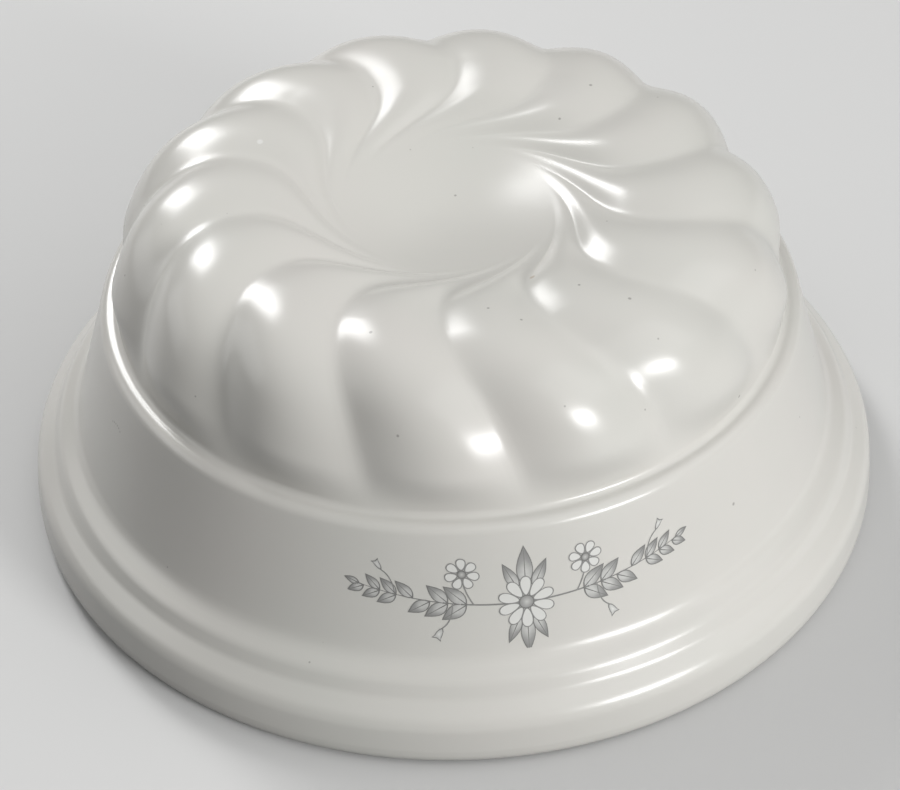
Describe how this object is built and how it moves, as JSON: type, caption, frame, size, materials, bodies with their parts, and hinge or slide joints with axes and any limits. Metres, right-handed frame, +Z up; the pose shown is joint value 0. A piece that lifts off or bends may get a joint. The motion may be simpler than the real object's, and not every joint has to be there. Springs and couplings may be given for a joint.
{
  "type": "gelatin mold",
  "caption": "Round gelatin mold in glazed stoneware: a flanged band under a swirled, fluted dome with a dimple, resting on its rim with the hollow facing down.",
  "frame": {"origin": "centre of the flat ring that the mold rests on, on the dome's axis", "axes": "+Z up along the dome's axis, from the rim to the crown; -Y towards the side with the printed sprig"},
  "size_m": [0.21, 0.21, 0.0872],
  "materials": {
    "glaze": "satin off-white glaze with a small grey printed sprig on the band"
  },
  "bodies": {
    "root": {"mold": "glaze"}
  },
  "joints": []
}
